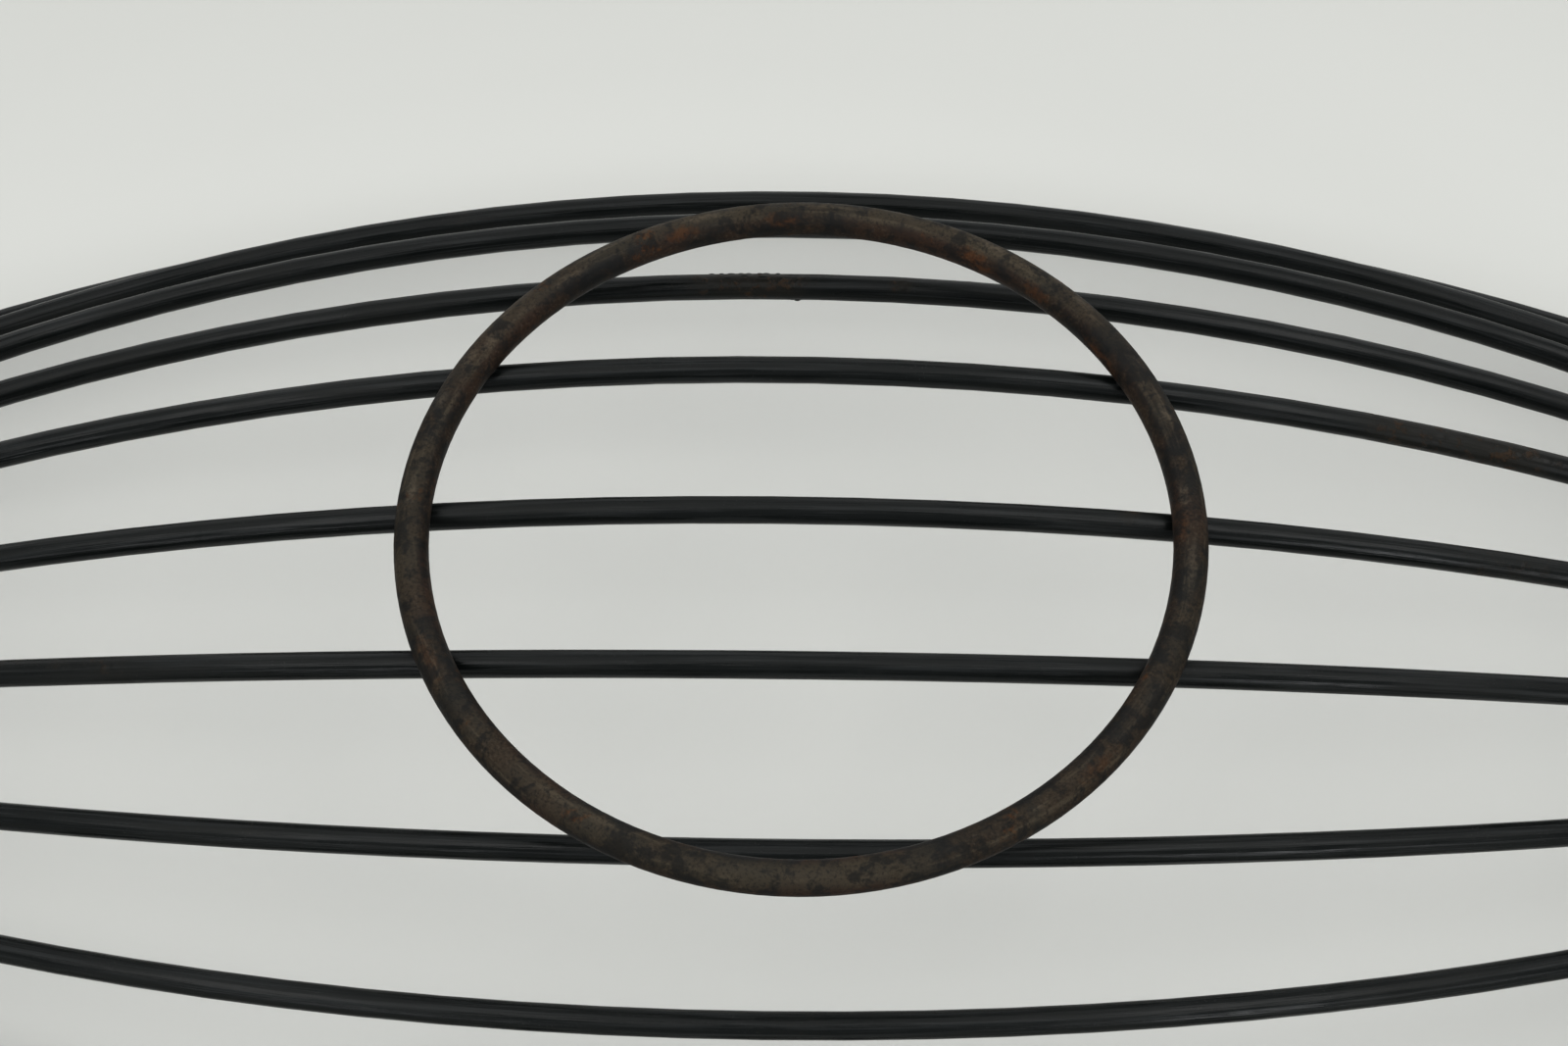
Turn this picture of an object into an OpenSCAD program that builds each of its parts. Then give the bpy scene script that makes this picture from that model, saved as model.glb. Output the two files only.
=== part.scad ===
// Boat-shaped open wire frame, drawn upside down, the way it stands most
// steadily: the long oval rim lies on the table, nine lengthwise ribs bow
// over it and gather towards the two tips, and the round foot ring is welded
// across the top of the three middle ribs.
// Millimetres. +Z is up, +X runs along the ribs, the origin is the middle of
// the oval rim on the table plane.

/* [Wire] */
// diameter of the nine rib wires
rib_wire = 4; // [3:0.1:5]
// diameter of the rim wire
rim_wire = 4; // [3:0.1:6]
// diameter of the heavier foot ring wire
ring_wire = 5; // [4:0.1:7]
// how deep one wire is pressed into the next at a weld
set_down = 0.25; // [0.1:0.05:0.4]

/* [Rim] */
// length of the rim oval, measured on the wire centreline
rim_length = 411; // [390:1:440]
// width of the rim oval, measured on the wire centreline
rim_width = 195; // [180:1:215]
// bend radius of the two rounded tips
tip_radius = 61.5; // [45:0.5:65]

/* [Foot ring] */
// diameter of the foot ring, measured on the wire centreline
ring_dia = 111; // [90:1:125]
// height of the foot ring wire centre above the table
ring_height = 57; // [50:1:70]
// distance the ring was welded off the middle along the ribs
ring_shift_x = 4.2; // [-8:0.1:8]
// distance the ring was welded off the middle across the ribs
ring_shift_y = -3.5; // [-6:0.1:6]

/* [Ribs at mid length] */
// sideways distance of the first pair of ribs from the centre rib
pair_1_y = 25.3; // [22:0.1:28]
// sideways distance of the second pair
pair_2_y = 49; // [45:0.1:52]
// sideways distance of the third pair
pair_3_y = 69.8; // [66:0.1:73]
// sideways distance of the outer pair
pair_4_y = 85.3; // [82:0.1:88]
// height of the second pair, as a share of the centre rib height
pair_2_rise = 0.79; // [0.74:0.01:0.84]
// height of the third pair, as a share of the centre rib height
pair_3_rise = 0.59; // [0.54:0.01:0.64]
// height of the outer pair, as a share of the centre rib height
pair_4_rise = 0.345; // [0.3:0.005:0.38]

/* [Rib ends] */
// spacing of the rib ends where they land side by side on the rim tip
end_pitch = 6.2; // [5.8:0.1:7.4]
// how far each rib end runs on past the rim wire
end_overrun = 2; // [1:0.5:4]

/* [View] */

/* [Hidden] */
$fn = 96;
a = rim_length/2;
b = rim_width/2;
// radius of the long sides, tangent to the tip bends
side_radius = ((a - tip_radius)*(a - tip_radius) + b*b - tip_radius*tip_radius)
              /(2*(b - tip_radius));
tip_x = a - tip_radius;
side_y = side_radius - b;
rim_z = rim_wire/2;

// contact distance between two crossing wire centres
lap_ring = (ring_wire + rib_wire)/2 - set_down;
lap_rim = (rim_wire + rib_wire)/2 - set_down;

// where each rib meets the rim centreline, seen from above
function end_y(i) = end_pitch*i + 0.2*i*i;
function end_x(i) = tip_x + sqrt(tip_radius*tip_radius - end_y(i)*end_y(i));

// rib arc through its mid point and its two landing points
function arc_rise(y, z, i, e) = norm([y - end_y(i), z - e]);
function arc_radius(s, i) = (end_x(i)*end_x(i) + s*s)/(2*s);
function arc_half(s, i) = 2*atan(s/end_x(i));
// direction of the rib at its landing point
function land_dir(y, z, i, e) =
    let (s = arc_rise(y, z, i, e), h = arc_half(s, i))
    [cos(h), -sin(h)*(y - end_y(i))/s, -sin(h)*(z - e)/s];
// height of the rib centre over the rim centre so that the wires just meet
function land_step(y, z, i, e) =
    let (d = land_dir(y, z, i, e),
         n = end_y(i)/tip_radius,
         t = [-n, sqrt(1 - n*n), 0],
         c = cross(d, t))
    rim_z + lap_rim*norm(c)/abs(c[2]);
function land_z(y, z, i) =
    land_step(y, z, i, land_step(y, z, i, rim_z + 1.1*lap_rim));

// ribs under the ring: mid height such that they meet the ring at the crossing
ring_r = ring_dia/2;
function ring_cross(y) = sqrt(ring_r*ring_r - y*y);
function mid_step(y, i, z) =
    let (e = land_z(y, z, i), s = arc_rise(y, z, i, e),
         r = arc_radius(s, i), x = ring_cross(norm([y, ring_shift_y])))
    ring_height - lap_ring + (r - sqrt(r*r - x*x))*(z - e)/s;
function mid_z(y, i) = mid_step(y, i, mid_step(y, i, ring_height - lap_ring + 3));

z0 = mid_z(0, 0);
z1 = mid_z(pair_1_y, 1);
rise_y = [0, pair_1_y, pair_2_y, pair_3_y, pair_4_y];
rise_z = [z0, z1, pair_2_rise*z0, pair_3_rise*z0, pair_4_rise*z0];

// the ring lies flat on ribs that fall away from the middle, so welding it
// off centre leans it: along the ribs by lean_x, across them by lean_y
keel_radius = arc_radius(arc_rise(0, z0, 0, land_z(0, z0, 0)), 0);
lean_x = asin(ring_shift_x/keel_radius);
function pair_1_fall(x) =
    let (e = land_z(pair_1_y, z1, 1), s = arc_rise(pair_1_y, z1, 1, e),
         r = arc_radius(s, 1))
    (r - sqrt(r*r - x*x))*(z1 - e)/s;
lean_y = asin((pair_1_fall(ring_cross(pair_1_y + ring_shift_y))
             - pair_1_fall(ring_cross(pair_1_y - ring_shift_y)))/(2*pair_1_y));

black = [0.13, 0.14, 0.14];
rust = [0.22, 0.16, 0.13];

// a bent round bar: radius r, from angle a0 over sweep degrees
module bent_bar(r, wire, a0, sweep) {
    rotate([0, 0, a0])
        rotate_extrude(angle = sweep)
            translate([r, 0]) circle(d = wire);
}

// the foot ring, one closed hoop of heavier bare wire
module foot_ring() {
    color(rust)
        translate([ring_shift_x, ring_shift_y, ring_height])
            rotate([lean_y, lean_x, 0])
                rotate_extrude() translate([ring_r, 0]) circle(d = ring_wire);
}

// the part of a flat hoop that lies inside a wedge seen from above; p is the
// wedge's point and q, s are the ends of its two sides
module rim_arc(r, centre, p, q, s) {
    intersection() {
        translate([centre[0], centre[1], rim_z])
            rotate_extrude() translate([r, 0]) circle(d = rim_wire);
        translate([0, 0, -1])
            linear_extrude(rim_wire + 2) polygon([p, q, s]);
    }
}

// the rim, one closed oval hoop bent from four arcs that meet tangentially
// on the line through the centres of a tip and a side
module rim() {
    color(black) {
        for (m = [0, 1]) mirror([m, 0, 0])
            rim_arc(tip_radius, [tip_x, 0],
                    [tip_x, 0], [2*tip_x, -side_y], [2*tip_x, side_y]);
        for (m = [0, 1]) mirror([0, m, 0])
            rim_arc(side_radius, [0, -side_y],
                    [0, -side_y], [2*tip_x, side_y], [-2*tip_x, side_y]);
    }
}

// one lengthwise rib, pair i, side +1 far or -1 near
module rib(i, side) {
    y = rise_y[i];
    z = rise_z[i];
    e = land_z(y, z, i);
    s = arc_rise(y, z, i, e);
    r = arc_radius(s, i);
    half = arc_half(s, i) + end_overrun/r*180/PI;
    lean = atan2(z - e, y - end_y(i));
    color(black)
        mirror([0, side < 0 ? 1 : 0, 0])
            translate([0, y - r*cos(lean), z - r*sin(lean)])
                rotate([lean, 0, 0])
                    bent_bar(r, rib_wire, 90 - half, 2*half);
}

module rib_centre() { rib(0, 1); }
module rib_far_1() { rib(1, 1); }
module rib_far_2() { rib(2, 1); }
module rib_far_3() { rib(3, 1); }
module rib_far_4() { rib(4, 1); }
module rib_near_1() { rib(1, -1); }
module rib_near_2() { rib(2, -1); }
module rib_near_3() { rib(3, -1); }
module rib_near_4() { rib(4, -1); }

foot_ring();
rim();
rib_centre();
rib_far_1();
rib_far_2();
rib_far_3();
rib_far_4();
rib_near_1();
rib_near_2();
rib_near_3();
rib_near_4();
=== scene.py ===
import math

import bpy
import numpy as np
from mathutils import Matrix, Vector


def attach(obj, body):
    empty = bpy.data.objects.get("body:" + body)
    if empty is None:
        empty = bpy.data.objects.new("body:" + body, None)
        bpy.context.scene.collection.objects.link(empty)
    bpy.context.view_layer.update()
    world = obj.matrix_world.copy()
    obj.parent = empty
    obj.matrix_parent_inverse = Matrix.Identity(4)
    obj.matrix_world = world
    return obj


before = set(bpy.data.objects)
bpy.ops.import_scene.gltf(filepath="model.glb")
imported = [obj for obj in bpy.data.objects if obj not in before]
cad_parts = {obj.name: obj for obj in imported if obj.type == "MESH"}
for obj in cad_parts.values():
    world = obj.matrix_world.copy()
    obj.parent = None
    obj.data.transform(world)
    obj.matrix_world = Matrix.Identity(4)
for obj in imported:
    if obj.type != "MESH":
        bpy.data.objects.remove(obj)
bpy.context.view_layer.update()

scene = bpy.context.scene

# ---------------------------------------------------------------- node helpers


class Graph:
    """A short way to write a material's node graph."""

    def __init__(self, name):
        self.mat = bpy.data.materials.new(name)
        self.mat.use_nodes = True
        self.nt = self.mat.node_tree
        self.nt.nodes.clear()
        self.out = self.nt.nodes.new("ShaderNodeOutputMaterial")
        self.bsdf = self.nt.nodes.new("ShaderNodeBsdfPrincipled")
        self.link(self.bsdf.outputs[0], self.out.inputs["Surface"])
        coord = self.nt.nodes.new("ShaderNodeTexCoord")
        self.pos = coord.outputs["Object"]

    def link(self, a, b):
        self.nt.links.new(a, b)

    def put(self, socket, value):
        if isinstance(value, bpy.types.NodeSocket):
            self.link(value, socket)
        else:
            socket.default_value = value

    def math(self, op, a, b=None, c=None, clamp=False):
        n = self.nt.nodes.new("ShaderNodeMath")
        n.operation, n.use_clamp = op, clamp
        for i, v in enumerate((a, b, c)):
            if v is not None:
                self.put(n.inputs[i], v)
        return n.outputs[0]

    def vmath(self, op, a, b=None):
        n = self.nt.nodes.new("ShaderNodeVectorMath")
        n.operation = op
        self.put(n.inputs[0], a)
        if b is not None:
            self.put(n.inputs[1], b)
        return n.outputs["Value" if op in ("LENGTH", "DISTANCE", "DOT_PRODUCT") else "Vector"]

    def xyz(self, v):
        n = self.nt.nodes.new("ShaderNodeSeparateXYZ")
        self.link(v, n.inputs[0])
        return n.outputs

    def join(self, x, y, z):
        n = self.nt.nodes.new("ShaderNodeCombineXYZ")
        for i, v in enumerate((x, y, z)):
            self.put(n.inputs[i], v)
        return n.outputs[0]

    def noise(self, vec, scale, detail=4.0, rough=0.55, distort=0.0, w=None):
        n = self.nt.nodes.new("ShaderNodeTexNoise")
        self.link(vec, n.inputs["Vector"])
        if w is not None:
            n.noise_dimensions = "4D"
            self.link(w, n.inputs["W"])
        n.inputs["Scale"].default_value = scale
        n.inputs["Detail"].default_value = detail
        n.inputs["Roughness"].default_value = rough
        n.inputs["Distortion"].default_value = distort
        return n.outputs["Fac"]

    def voronoi(self, vec, scale, feature="F1", rand=1.0):
        n = self.nt.nodes.new("ShaderNodeTexVoronoi")
        n.feature = feature
        self.link(vec, n.inputs["Vector"])
        n.inputs["Scale"].default_value = scale
        n.inputs["Randomness"].default_value = rand
        return n.outputs["Distance"]

    def ramp(self, value, lo, hi, out_lo=0.0, out_hi=1.0, smooth=True):
        n = self.nt.nodes.new("ShaderNodeMapRange")
        n.interpolation_type = "SMOOTHSTEP" if smooth else "LINEAR"
        n.clamp = True
        self.link(value, n.inputs["Value"])
        n.inputs["From Min"].default_value = lo
        n.inputs["From Max"].default_value = hi
        n.inputs["To Min"].default_value = out_lo
        n.inputs["To Max"].default_value = out_hi
        return n.outputs[0]

    def mix(self, fac, a, b):
        n = self.nt.nodes.new("ShaderNodeMix")
        n.data_type = "RGBA"
        self.put(n.inputs["Factor"], fac)
        for key, v in (("A", a), ("B", b)):
            s = [i for i in n.inputs if i.name == key and i.type == "RGBA"][0]
            self.put(s, v if isinstance(v, bpy.types.NodeSocket) else (*v, 1.0))
        return [o for o in n.outputs if o.type == "RGBA"][0]

    def bump(self, height, distance, strength=1.0, normal=None):
        n = self.nt.nodes.new("ShaderNodeBump")
        n.inputs["Strength"].default_value = strength
        n.inputs["Distance"].default_value = distance
        self.link(height, n.inputs["Height"])
        if normal is not None:
            self.link(normal, n.inputs["Normal"])
        return n.outputs["Normal"]


# ----------------------------------------------------- the wires, in millimetres

# pair: side offset and height at mid length, side offset and height of the
# landing point on the rim, bend radius, half the bend angle with the overrun
RIBS = {
    0: (0.0, 56.1892, 0.0, 6.2213, 447.5573, 27.5889),
    1: (25.3, 55.4210, 6.4, 6.2388, 425.7955, 29.0749),
    2: (49.0, 44.3895, 13.2, 6.1095, 423.4756, 29.0792),
    3: (69.8, 33.1516, 20.4, 6.0112, 390.2120, 31.4727),
    4: (85.3, 19.3853, 28.0, 5.8632, 364.9342, 33.3138),
}
TIP_R, TIP_X, SIDE_R, SIDE_Y, RIM_Z = 61.5, 144.0, 367.5, 270.0, 2.0
RING_R, RING_C, LEAN_X, LEAN_Y = 55.5, (4.2, -3.5, 57.0), 0.538, 0.443
R_RIB, R_RIM, R_RING = 2.0, 2.0, 2.5


def rib_path(pair, side, n=4001):
    y, z, ey, e, r, half = RIBS[pair]
    s = math.hypot(y - ey, z - e)
    t = np.radians(np.linspace(-half, half, n))
    k = r * np.cos(t) - (r - s)
    return np.stack([r * np.sin(t), side * (ey + k * (y - ey) / s), e + k * (z - e) / s], 1)


def rim_path(n=1600):
    j = math.atan2(SIDE_Y, TIP_X)
    out = []
    for m, a0, a1 in ((1, -j, j), (1, j, math.pi - j), (-1, -j, j), (-1, j, math.pi - j)):
        t = np.linspace(a0, a1, n)
        if a1 == j:
            out.append(np.stack([m * (TIP_X + TIP_R * np.cos(t)), m * TIP_R * np.sin(t),
                                 np.full(n, RIM_Z)], 1))
        else:
            out.append(np.stack([m * SIDE_R * np.cos(t), m * (SIDE_R * np.sin(t) - SIDE_Y),
                                 np.full(n, RIM_Z)], 1))
    return np.concatenate(out)


def ring_path(n=4001):
    t = np.linspace(0, 2 * math.pi, n)
    p = np.stack([RING_R * np.cos(t), RING_R * np.sin(t), np.zeros(n)], 1)
    a, b = math.radians(LEAN_Y), math.radians(LEAN_X)
    rx = np.array([[1, 0, 0], [0, math.cos(a), -math.sin(a)], [0, math.sin(a), math.cos(a)]])
    ry = np.array([[math.cos(b), 0, math.sin(b)], [0, 1, 0], [-math.sin(b), 0, math.cos(b)]])
    return p @ (ry @ rx).T + np.array(RING_C)


def contact(a, b, keep):
    """The point on path a, inside keep, that comes nearest to path b."""
    ia = np.nonzero(keep(a))[0]
    best = (1e9, 0, 0)
    for i in ia[::4]:
        d = np.linalg.norm(b - a[i], axis=1)
        k = int(d.argmin())
        if d[k] < best[0]:
            best = (float(d[k]), int(i), k)
    return best


# ------------------------------------------------------------- black rib paint


def paint(g, u, v, w, seed, rust=0.5, worn=(), dull=0.0):
    """Thin satin black paint on drawn wire. u runs along the wire and v, w
    across it. Lengthwise draw lines, a little grit, brown flecks where the
    paint is thin, and worn brown patches at the given places."""
    p = g.vmath("ADD", g.pos, (seed * 0.37, seed * 0.11, seed * 0.23))
    draw = g.noise(g.join(g.math("MULTIPLY_ADD", u, 0.022, seed), v, w), 1500.0, 3.0, 0.55)
    broad = g.noise(g.join(g.math("MULTIPLY_ADD", u, 0.10, seed), v, w), 420.0, 2.0, 0.5)
    cloud = g.noise(p, 70.0, 5.0, 0.6)
    patch = g.noise(p, 17.0, 3.0, 0.5)
    peel = g.noise(p, 1300.0, 3.0, 0.55)
    grit = g.noise(p, 5200.0, 2.0, 0.5)
    fleck = g.noise(p, 520.0, 4.0, 0.62)
    where = g.ramp(patch, 0.62 - 0.05 * rust, 0.76)
    for (x, y, z), size, amount in worn:
        far = g.vmath("LENGTH", g.vmath("MULTIPLY", g.vmath("SUBTRACT", g.pos, (x / 1000, y / 1000, z / 1000)),
                                        (1.0 / size[0], 1.0 / size[1], 1.0 / size[1])))
        far = g.math("ADD", far, g.math("MULTIPLY_ADD", g.noise(p, 380.0, 4.0, 0.6), 0.9, -0.45))
        where = g.math("MAXIMUM", where, g.ramp(far, 0.4, 1.1, amount, 0.0))
    spots = g.math("MULTIPLY", g.ramp(fleck, 0.52, 0.66), where)
    lumps = g.math("MULTIPLY", g.ramp(g.voronoi(p, 520.0), 0.0, 0.5, 1.0, 0.0), where)
    colour = g.mix(cloud, (0.0034, 0.0047, 0.0044), (0.0072, 0.0086, 0.0082))
    colour = g.mix(g.ramp(draw, 0.50, 0.66, 0.0, 0.75), colour, (0.0175, 0.0195, 0.0195))
    dust = g.math("MULTIPLY", g.ramp(g.voronoi(p, 1900.0), 0.22, 0.10), g.ramp(g.noise(p, 160.0, 3.0, 0.6), 0.50, 0.68))
    colour = g.mix(g.math("MULTIPLY", dust, 0.50), colour, (0.0420, 0.0430, 0.0410))
    colour = g.mix(g.ramp(broad, 0.5, 0.75, 0.0, 0.4), colour, (0.0100, 0.0105, 0.0090))
    colour = g.mix(g.math("MULTIPLY", where, 0.45), colour, (0.0200, 0.0160, 0.0105))
    colour = g.mix(g.math("MULTIPLY", spots, 0.75), colour, (0.0480, 0.0260, 0.0120))
    g.put(g.bsdf.inputs["Base Color"], colour)
    rough = g.ramp(cloud, 0.3, 0.7, 0.25 + dull, 0.33 + dull)
    rough = g.math("ADD", rough, g.ramp(broad, 0.40, 0.70, -0.06, 0.12))
    rough = g.math("ADD", rough, g.ramp(draw, 0.40, 0.70, -0.05, 0.08))
    rough = g.math("ADD", rough, g.math("MULTIPLY", where, 0.16))
    rough = g.math("ADD", rough, g.math("MULTIPLY", spots, 0.25), clamp=True)
    g.put(g.bsdf.inputs["Roughness"], rough)
    n = g.bump(draw, 0.00014, 0.85)
    n = g.bump(broad, 0.00022, 0.5, n)
    n = g.bump(peel, 0.00004, 0.45, n)
    n = g.bump(g.math("ADD", lumps, spots), 0.00016, 0.8, n)
    n = g.bump(grit, 0.00002, 0.35, n)
    g.put(g.bsdf.inputs["Normal"], n)
    g.bsdf.inputs["IOR"].default_value = 1.5
    g.bsdf.inputs["Specular IOR Level"].default_value = 0.19
    return g.mat


def rib_paint(pair, side, seed, rust, worn=()):
    g = Graph("black_paint_rib_%d_%s" % (pair, "far" if side > 0 else "near"))
    y, z, ey, e, r, _ = (n / 1000 for n in RIBS[pair])
    s = math.hypot(y - ey, z - e)
    uy, uz = (y - ey) / s, (z - e) / s
    px, py, pz = g.xyz(g.pos)
    if side < 0:
        py = g.math("MULTIPLY", py, -1.0)
    dy, dz = g.math("SUBTRACT", py, ey), g.math("SUBTRACT", pz, e)
    k = g.math("ADD", g.math("MULTIPLY", dy, uy), g.math("MULTIPLY_ADD", dz, uz, r - s))
    t = g.math("SUBTRACT", g.math("MULTIPLY", dz, uy), g.math("MULTIPLY", dy, uz))
    u = g.math("MULTIPLY", g.math("ARCTAN2", px, k), r)
    v = g.math("SUBTRACT", g.vmath("LENGTH", g.join(px, k, 0.0)), r)
    return paint(g, u, v, t, seed, rust, worn)


def rim_paint(seed, rust):
    g = Graph("black_paint_rim")
    px, py, pz = g.xyz(g.pos)
    ax, ay = g.math("ABSOLUTE", px), g.math("ABSOLUTE", py)
    tip_r, tip_x, side_r, side_y = TIP_R / 1000, TIP_X / 1000, SIDE_R / 1000, SIDE_Y / 1000
    j = math.atan2(SIDE_Y, TIP_X)
    bx, sy = g.math("SUBTRACT", ax, tip_x), g.math("ADD", ay, side_y)
    in_tip = g.math("GREATER_THAN", g.math("MULTIPLY", bx, side_y), g.math("MULTIPLY", ay, tip_x))
    v_tip = g.math("SUBTRACT", g.vmath("LENGTH", g.join(bx, ay, 0.0)), tip_r)
    v_side = g.math("SUBTRACT", g.vmath("LENGTH", g.join(ax, sy, 0.0)), side_r)
    u_tip = g.math("MULTIPLY_ADD", g.math("ARCTAN2", ay, bx), -tip_r,
                   tip_r * j + side_r * (math.pi / 2 - j))
    u_side = g.math("MULTIPLY", g.math("ARCTAN2", ax, sy), side_r)

    def pick(a, b):
        return g.math("ADD", g.math("MULTIPLY", a, in_tip),
                      g.math("MULTIPLY", b, g.math("SUBTRACT", 1.0, in_tip)))

    return paint(g, pick(u_tip, u_side), pick(v_tip, v_side), pz, seed, rust)


# ------------------------------------------------------------ rusty ring wire


def rusty(name, marks):
    """Bare steel wire gone dark brown: mottled scale, a tan bloom along the crown
    that is partly wear and partly painted highlight on the upper side, orange rust in spots, fine pits."""
    g = Graph(name)
    p = g.pos
    a, b = math.radians(LEAN_Y), math.radians(LEAN_X)
    rel = g.vmath("SUBTRACT", p, tuple(c / 1000 for c in RING_C))
    axes = (Vector((math.cos(b), 0, -math.sin(b))),
            Vector((math.sin(b) * math.sin(a), math.cos(a), math.cos(b) * math.sin(a))),
            Vector((math.sin(b) * math.cos(a), -math.sin(a), math.cos(b) * math.cos(a))))
    x, y, z = (g.vmath("DOT_PRODUCT", rel, tuple(v)) for v in axes)
    ang = g.math("ARCTAN2", y, x)
    out = g.math("SUBTRACT", g.vmath("LENGTH", g.join(x, y, 0.0)), RING_R / 1000)
    phi = g.math("ARCTAN2", z, out)
    # streaks that run on round the ring without a seam
    flat = g.join(x, y, 0.0)
    turn = g.xyz(g.vmath("MULTIPLY", g.vmath("NORMALIZE", flat), (0.005, 0.005, 0.0)))
    streak = g.noise(g.join(turn[0], turn[1], out), 1100.0, 4.0, 0.6, w=z)
    mott = g.noise(p, 190.0, 6.0, 0.62, 0.4)
    fine = g.noise(p, 1000.0, 5.0, 0.62)
    patch = g.noise(p, 48.0, 4.0, 0.55, 0.3)
    big = g.noise(p, 26.0, 3.0, 0.5)
    pits = g.math("MULTIPLY", g.ramp(g.voronoi(p, 1200.0), 0.0, 0.35, 1.0, 0.0),
                  g.ramp(g.noise(p, 330.0, 3.0, 0.6), 0.48, 0.66))
    # how near the surface is to the upper crown, which rests on the table in use: it is worn lighter there, and it also
    # carries a painted highlight where the overhead light falls
    worn_and_lit_crown = g.math("MULTIPLY_ADD", z, 0.94, g.math("MULTIPLY", out, 0.34))
    worn_and_lit_crown = g.math("ADD", worn_and_lit_crown, g.math("MULTIPLY_ADD", mott, 0.0016, -0.0008))
    worn_and_lit_crown = g.ramp(worn_and_lit_crown, 0.0010, 0.0024)

    colour = g.mix(g.ramp(mott, 0.36, 0.64), (0.0045, 0.0047, 0.0043), (0.0250, 0.0158, 0.0092))
    colour = g.mix(g.ramp(patch, 0.47, 0.62, 0.0, 0.7), colour, (0.0300, 0.0150, 0.0082))
    # partly wear and partly painted highlight: the upper crown of the wire is mixed towards tan
    colour = g.mix(g.math("MULTIPLY", worn_and_lit_crown, g.ramp(big, 0.32, 0.62, 0.15, 0.85)),
                   colour, (0.0400, 0.0330, 0.0215))
    # lighter streaks along the upper crown, also partly painted highlight
    colour = g.mix(g.math("MULTIPLY", g.ramp(streak, 0.50, 0.68, 0.0, 0.7), g.ramp(worn_and_lit_crown, 0.0, 1.0, 0.1, 1.0)),
                   colour, (0.0680, 0.0550, 0.0370))
    grain = g.noise(p, 2300.0, 3.0, 0.6)
    colour = g.mix(g.ramp(grain, 0.48, 0.36, 0.0, 0.5), colour, (0.0050, 0.0048, 0.0042))
    colour = g.mix(g.math("MULTIPLY", g.ramp(grain, 0.54, 0.66, 0.0, 0.5), g.ramp(mott, 0.4, 0.6)),
                   colour, (0.0560, 0.0440, 0.0320))
    orange = g.math("MULTIPLY", g.ramp(g.noise(p, 130.0, 5.0, 0.65), 0.60, 0.70), g.ramp(fine, 0.42, 0.60))
    scuff = None
    for kind, (th, ph), (la, lp), amount in marks:
        # distance along the ring in mm and round the wire in mm, wrapped
        da = g.math("MULTIPLY", g.math("WRAP", g.math("SUBTRACT", ang, th), math.pi, -math.pi), RING_R / la)
        dp = g.math("MULTIPLY", g.math("WRAP", g.math("SUBTRACT", phi, ph), math.pi, -math.pi), R_RING / lp)
        d = g.vmath("LENGTH", g.join(da, dp, 0.0))
        d = g.math("ADD", d, g.math("MULTIPLY_ADD", fine, 2.6, -1.3))
        m = g.ramp(d, 0.1, 1.25, amount, 0.0)
        if kind == "rust":
            orange = g.math("MAXIMUM", orange, m)
        else:
            scuff = m if scuff is None else g.math("MAXIMUM", scuff, m)
    scuff = g.math("MULTIPLY", scuff, g.ramp(grain, 0.30, 0.60, 0.35, 1.0))
    colour = g.mix(g.math("MULTIPLY", scuff, 0.50), colour, (0.115, 0.093, 0.066))
    colour = g.mix(g.math("MULTIPLY", orange, 0.55), colour, (0.098, 0.040, 0.014))
    blotch = g.ramp(g.noise(p, 330.0, 5.0, 0.66, 0.3), 0.52, 0.40, 0.0, 0.75)
    colour = g.mix(blotch, colour, (0.0048, 0.0052, 0.0050))
    colour = g.mix(g.math("MULTIPLY", pits, 0.65), colour, (0.007, 0.006, 0.006))
    g.put(g.bsdf.inputs["Base Color"], colour)
    rough = g.ramp(mott, 0.3, 0.7, 0.50, 0.68)
    rough = g.math("ADD", rough, g.math("MULTIPLY", orange, 0.2))
    rough = g.math("ADD", rough, g.math("MULTIPLY", worn_and_lit_crown, 0.04), clamp=True)
    g.put(g.bsdf.inputs["Roughness"], rough)
    n = g.bump(mott, 0.00024, 0.6)
    n = g.bump(fine, 0.00014, 0.7, n)
    n = g.bump(grain, 0.00006, 0.5, n)
    n = g.bump(g.math("MULTIPLY", pits, -1.0), 0.00014, 0.7, n)
    g.put(g.bsdf.inputs["Normal"], n)
    g.bsdf.inputs["IOR"].default_value = 1.5
    g.bsdf.inputs["Specular IOR Level"].default_value = 0.20
    return g.mat


def assign(node, mat):
    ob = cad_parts[node]
    ob.data.materials.clear()
    ob.data.materials.append(mat)


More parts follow.
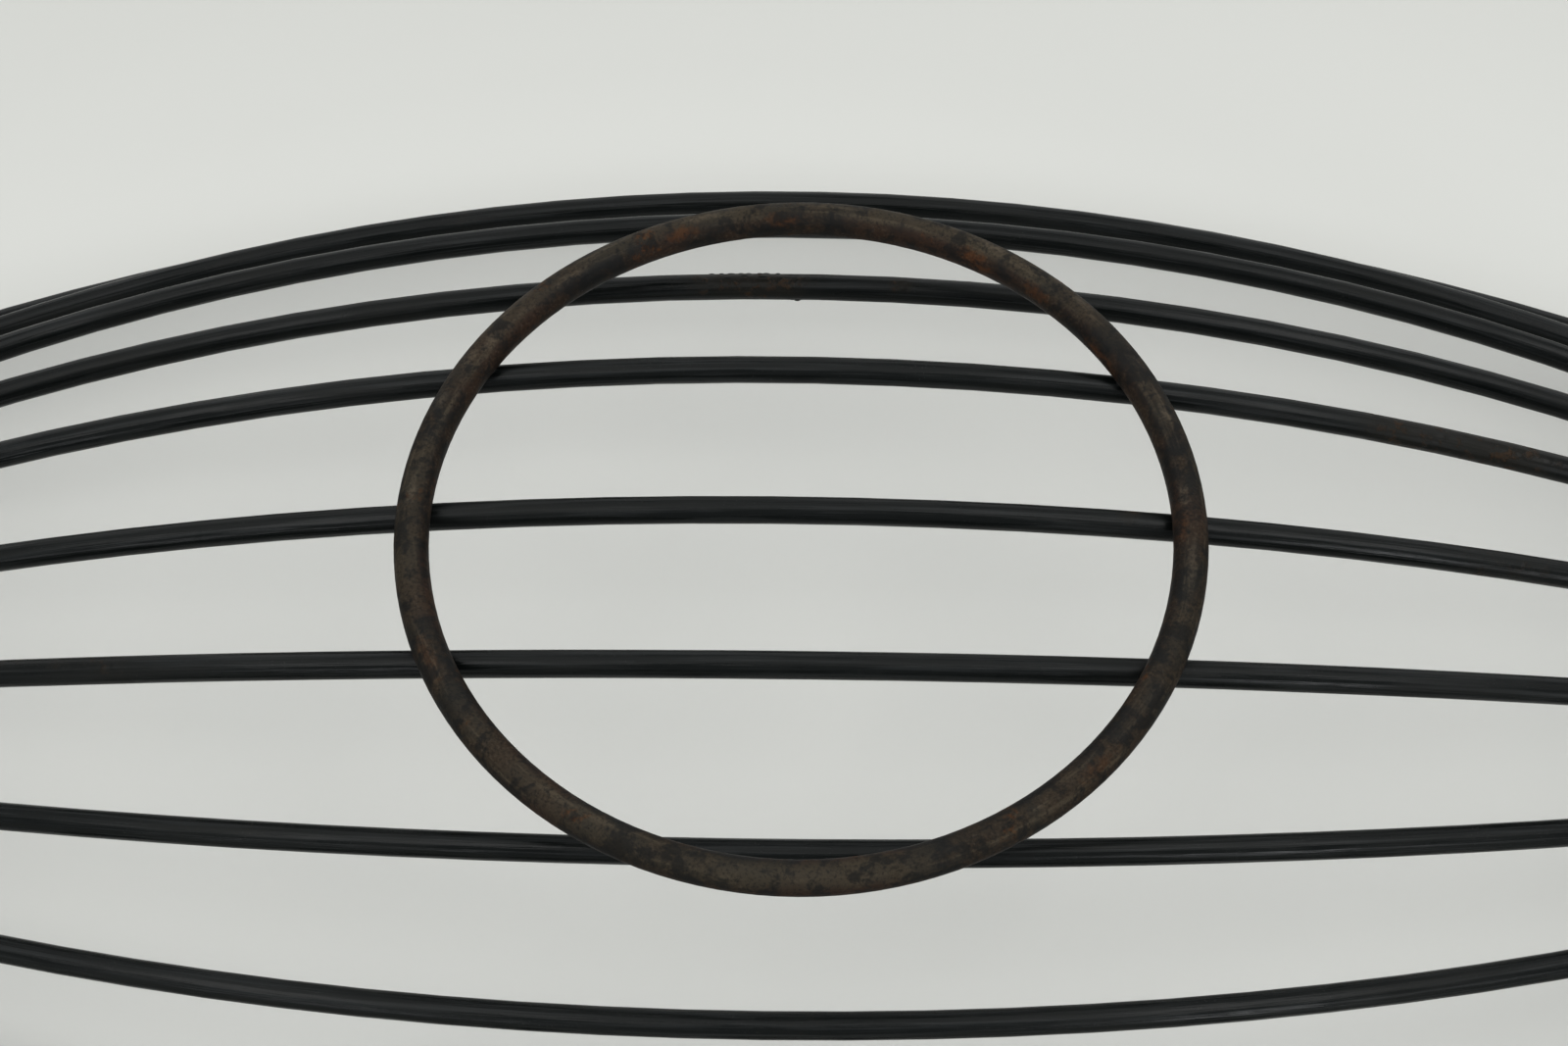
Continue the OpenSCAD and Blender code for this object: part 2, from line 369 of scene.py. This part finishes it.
# Marks on the ring: degrees round the ring from +X, degrees round the wire
# from its outer side, half length and half width in mm, strength.
RUST_MARKS = (
    ((110.5, 121.6), (3.0, 1.3), 0.77),
    ((93.7, 136.3), (2.4, 1.1), 0.68),
    ((95.4, 119.4), (1.6, 1.0), 0.51),
    ((62.6, 138.6), (2.6, 1.2), 0.85),
    ((60.5, 169.8), (2.0, 0.9), 0.77),
    ((50.3, 144.4), (2.6, 1.2), 0.68),
    ((34.9, 170.1), (4.2, 0.9), 0.77),
    ((49.2, 36.5), (1.6, 0.9), 0.59),
    ((-155.5, 65.9), (4.0, 1.3), 0.42),
    ((-43.1, 61.3), (4.0, 1.2), 0.42),
    ((-0.0, 123.6), (3.0, 1.2), 0.42),
)
SCUFF_MARKS = (
    ((106.6, 79.8), (2.6, 0.8), 0.90),
    ((89.9, 61.0), (1.6, 0.7), 0.90),
    ((87.2, 57.7), (1.5, 0.7), 0.90),
    ((60.6, 71.0), (3.0, 0.9), 0.90),
    ((147.1, 96.6), (2.4, 0.9), 0.80),
    ((151.0, 80.9), (2.2, 0.8), 0.80),
    ((159.6, 73.9), (2.0, 0.8), 0.70),
    ((176.1, 82.4), (2.2, 0.8), 0.70),
    ((30.2, 77.1), (2.4, 0.8), 0.80),
    ((20.1, 84.2), (2.0, 0.8), 0.80),
    ((5.0, 108.7), (2.6, 0.8), 0.90),
    ((43.2, 66.3), (2.0, 0.8), 0.70),
    ((-6.9, 88.7), (5.0, 0.8), 0.60),
    ((129.9, 104.3), (4.0, 0.8), 0.60),
)
marks = [(kind, tuple(map(math.radians, at)), size, amount)
         for kind, group in (("rust", RUST_MARKS), ("scuff", SCUFF_MARKS)) for at, size, amount in group]
ring_mat = rusty("rusty_ring_steel", marks)
assign("foot_ring", ring_mat)

WORN_X, RUST_X = -5.0, 18.9
rib_mats = {
    (0, 1): rib_paint(0, 1, 3.1, 0.3, (((51.0, 0.5, 54.6), (0.0020, 0.0018), 0.7),)),
    (1, 1): rib_paint(1, 1, 4.8, 0.5),
    (2, 1): rib_paint(2, 1, 6.5, 0.8, (((WORN_X, 49.0, 45.4), (0.0120, 0.0030), 0.9),
                                       ((RUST_X, 48.4, 46.0), (0.0024, 0.0016), 1.0))),
    (3, 1): rib_paint(3, 1, 8.2, 0.5),
    (4, 1): rib_paint(4, 1, 9.9, 0.4),
    (1, -1): rib_paint(1, -1, 11.6, 0.4),
    (2, -1): rib_paint(2, -1, 13.3, 0.6),
    (3, -1): rib_paint(3, -1, 15.0, 0.4),
    (4, -1): rib_paint(4, -1, 16.7, 0.6),
}
NAMES = {(0, 1): "rib_centre"}
for pair in (1, 2, 3, 4):
    NAMES[(pair, 1)], NAMES[(pair, -1)] = "rib_far_%d" % pair, "rib_near_%d" % pair
for key, mat in rib_mats.items():
    assign(NAMES[key], mat)
rim_mat = rim_paint(21.4, 0.9)
assign("rim", rim_mat)

# ------------------------------------------------- weld fillets at the joints


def tube(path, radius, n=28):
    """Vertices and faces of a closed round bar along a short path."""
    verts, faces = [], []
    for k, c in enumerate(path):
        d = path[min(k + 1, len(path) - 1)] - path[max(k - 1, 0)]
        d = d / np.linalg.norm(d)
        a = np.cross(d, [0.0, 0.0, 1.0])
        a /= np.linalg.norm(a)
        b = np.cross(a, d)
        for i in range(n):
            t = 2 * math.pi * i / n
            verts.append(c + radius * (math.cos(t) * a + math.sin(t) * b))
    m = len(path)
    for k in range(m - 1):
        for i in range(n):
            j = (i + 1) % n
            faces.append((k * n + i, k * n + j, (k + 1) * n + j, (k + 1) * n + i))
    faces.append(tuple(range(n))[::-1])
    faces.append(tuple(range((m - 1) * n, m * n)))
    return verts, faces


def reach(p, path):
    return np.min(np.linalg.norm(path[None, :, :] - p[:, None, :], axis=2), axis=1)


def piece_of(path, k, half):
    """The stretch of a path within half a length either side of point k."""
    step = np.linalg.norm(path[1] - path[0])
    w = int(round(half / step))
    return path[max(0, k - w):k + w + 1]


def fillet(pa, ra, ka, pb, rb, kb, voxel=0.20, rounds=22, half=3.4):
    """The rounded corner that weld metal and paint leave between two wires."""
    a, b = piece_of(pa, ka, half), piece_of(pb, kb, half)
    va, fa = tube(a[::max(1, len(a) // 12)], ra - 0.05)
    vb, fb = tube(b[::max(1, len(b) // 12)], rb - 0.05)
    me = bpy.data.meshes.new("stub")
    me.from_pydata([tuple(v) for v in va + vb], [],
                   list(fa) + [tuple(i + len(va) for i in f) for f in fb])
    ob = bpy.data.objects.new("stub", me)
    scene.collection.objects.link(ob)
    rm = ob.modifiers.new("remesh", "REMESH")
    rm.mode, rm.voxel_size, rm.use_smooth_shade = "VOXEL", voxel, True
    sm = ob.modifiers.new("smooth", "SMOOTH")
    sm.factor, sm.iterations = 0.5, rounds
    dg = bpy.context.evaluated_depsgraph_get()
    ev = ob.evaluated_get(dg).to_mesh()
    co = np.empty(len(ev.vertices) * 3)
    ev.vertices.foreach_get("co", co)
    co = co.reshape(-1, 3)
    faces = [tuple(f.vertices) for f in ev.polygons]
    ob.evaluated_get(dg).to_mesh_clear()
    bpy.data.objects.remove(ob)
    bpy.data.meshes.remove(me)
    inside = (reach(co, a) < ra - 0.03) | (reach(co, b) < rb - 0.03)
    faces = [f for f in faces if not all(inside[i] for i in f)]
    used = sorted({i for f in faces for i in f})
    back = {i: k for k, i in enumerate(used)}
    return co[used], [tuple(back[i] for i in f) for f in faces]


def gather(name, parts, mat):
    verts, faces, base = [], [], 0
    for v, f in parts:
        verts += [tuple(c / 1000 for c in p) for p in v]
        faces += [tuple(i + base for i in q) for q in f]
        base += len(v)
    me = bpy.data.meshes.new(name)
    me.from_pydata(verts, [], faces)
    me.validate()
    for poly in me.polygons:
        poly.use_smooth = True
    me.materials.append(mat)
    ob = bpy.data.objects.new(name, me)
    scene.collection.objects.link(ob)
    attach(ob, "root")
    return ob


ring_p, rim_p = ring_path(), rim_path()
paths = {k: rib_path(*k) for k in rib_mats}
rim_parts, ring_parts = [], []
for (pair, side), p in paths.items():
    for end in (-1, 1):
        d, i, k = contact(p, rim_p, lambda q: q[:, 0] * end > 185)
        rim_parts.append(fillet(p, R_RIB, i, rim_p, R_RIM, k))
        if pair < 2:
            d, i, k = contact(p, ring_p, lambda q: (np.abs(q[:, 0] - RING_C[0] - end * 50) < 14))
            ring_parts.append(fillet(p, R_RIB, i, ring_p, R_RING, k))


def plain_paint(name, seed, rust):
    g = Graph(name)
    x, y, z = g.xyz(g.pos)
    return paint(g, x, y, z, seed, rust, dull=0.16)


gather("weld_fillets_rim", rim_parts, plain_paint("black_paint_welds_rim", 25.0, 2.0))
gather("weld_fillets_ring", ring_parts, plain_paint("black_paint_welds_ring", 27.0, 3.0))

# ---------------------------- drips and lumps of paint on the second far rib


def bead(centre, size, n=10):
    verts, faces = [], []
    for i in range(n + 1):
        th = math.pi * i / n
        for k in range(2 * n):
            ph = math.pi * k / n
            verts.append(np.array(centre) + np.array((size[0] * math.cos(th),
                                                      size[1] * math.sin(th) * math.cos(ph),
                                                      size[1] * math.sin(th) * math.sin(ph))))
    for i in range(n):
        for k in range(2 * n):
            a, b = i * 2 * n + k, i * 2 * n + (k + 1) % (2 * n)
            faces.append((a, b, b + 2 * n, a + 2 * n))
    return np.array(verts), faces


beads = []
rib_2 = paths[(2, 1)]
for x, el, sink, size in (
        (-10.6, 146, 0.16, (0.60, 0.23)), (-9.1, 138, 0.14, (0.45, 0.22)), (-7.6, 149, 0.16, (0.80, 0.25)),
        (-6.1, 142, 0.14, (0.50, 0.23)), (-4.9, 151, 0.16, (0.60, 0.26)), (-3.2, 139, 0.15, (0.55, 0.24)),
        (-2.3, 147, 0.14, (0.70, 0.24)), (-0.4, 141, 0.15, (0.45, 0.22)),
        (-5.6, 112, 0.20, (0.90, 0.28)), (-8.1, 98, 0.20, (0.80, 0.28)), (-2.8, 104, 0.20, (0.85, 0.28)),
        (2.6, -33, 0.06, (0.55, 0.27)), (1.8, -30, 0.19, (0.70, 0.26))):
    c = rib_2[int(np.abs(rib_2[:, 0] - x).argmin())]
    t = math.radians(el)
    beads.append(bead(c + (R_RIB - sink) * np.array((0.0, -math.cos(t), math.sin(t))), size))
gather("paint_lumps_far_2", beads, plain_paint("black_paint_lumps", 31.0, 2.0))

# ----------------------------------------------------------------------- floor

bpy.ops.mesh.primitive_plane_add(size=6.0, location=(0, 0, 0))
floor = bpy.context.object
floor.name = "floor"
fm = Graph("pale_paper")
tone = fm.noise(fm.pos, 3.0, 3.0, 0.5)
paper = fm.mix(tone, (0.498, 0.503, 0.475), (0.510, 0.515, 0.487))
# painted light: the paper colour is made lighter under the frame to offset the shade that the wires cast there
spread = fm.vmath("LENGTH", fm.vmath("MULTIPLY", fm.pos, (1 / 0.26, 1 / 0.15, 0.0)))
paper = fm.mix(fm.ramp(spread, 0.35, 1.60, 1.0, 0.0), paper, (0.602, 0.608, 0.579))
fm.put(fm.bsdf.inputs["Base Color"], paper)
fm.bsdf.inputs["Roughness"].default_value = 0.8
fm.put(fm.bsdf.inputs["Normal"], fm.bump(fm.noise(fm.pos, 600.0, 4.0, 0.6), 0.00005, 0.25))
floor.data.materials.append(fm.mat)

# ---------------------------------------------------------------------- lights

world = bpy.data.worlds.new("studio")
scene.world = world
world.use_nodes = True
bg = world.node_tree.nodes["Background"]
bg.inputs["Color"].default_value = (0.95, 0.97, 1.0, 1.0)
bg.inputs["Strength"].default_value = 0.50


def area(name, loc, target, size, power, colour=(1, 1, 1)):
    light = bpy.data.lights.new(name, "AREA")
    light.shape = "RECTANGLE"
    light.size, light.size_y = size
    light.energy = power
    light.color = colour
    ob = bpy.data.objects.new(name, light)
    scene.collection.objects.link(ob)
    ob.location = loc
    d = Vector(target) - Vector(loc)
    ob.rotation_euler = d.to_track_quat("-Z", "Y").to_euler()
    return ob


area("overhead_soft", (0.0, 0.05, 1.8), (0, 0.0, 0), (3.0, 2.2), 17.2, (1.0, 0.99, 0.97))
area("high_left", (-0.72, -0.50, 1.45), (0, 0, 0), (0.8, 0.8), 3.2, (1.0, 0.99, 0.98))
area("high_right", (0.70, -0.22, 1.52), (0, 0, 0), (0.8, 0.8), 3.2, (1.0, 0.99, 0.98))
area("front_left", (-0.87, -1.70, 0.58), (0, 0, 0.03), (0.8, 0.4), 2.6, (0.97, 0.98, 1.0))
area("front_right", (0.95, -1.65, 0.62), (0, 0, 0.03), (0.8, 0.4), 6.0, (0.97, 0.98, 1.0))
area("back_soft", (0.0, 1.9, 0.85), (0, 0, 0.05), (4.0, 1.5), 10.5, (1.0, 0.99, 0.98))

# ---------------------------------------------------------------------- camera

cam_data = bpy.data.cameras.new("main_camera")
cam_data.sensor_fit = "HORIZONTAL"
cam_data.sensor_width = 36.0
cam_data.lens = 76.05
cam_data.clip_start = 0.01
cam_data.clip_end = 20.0
cam = bpy.data.objects.new("main_camera", cam_data)
scene.collection.objects.link(cam)
right = Vector((0.99967, 0.02096, -0.01478)).normalized()
back = Vector((0.02381, -0.54470, 0.83829)).normalized()
up = back.cross(right).normalized()
right = up.cross(back).normalized()
cam.matrix_world = Matrix((
    (right.x, up.x, back.x, 0.01304),
    (right.y, up.y, back.y, -0.26028),
    (right.z, up.z, back.z, 0.45338),
    (0, 0, 0, 1)))
scene.camera = cam
scene.view_settings.view_transform = "Standard"
scene.view_settings.look = "Medium High Contrast"
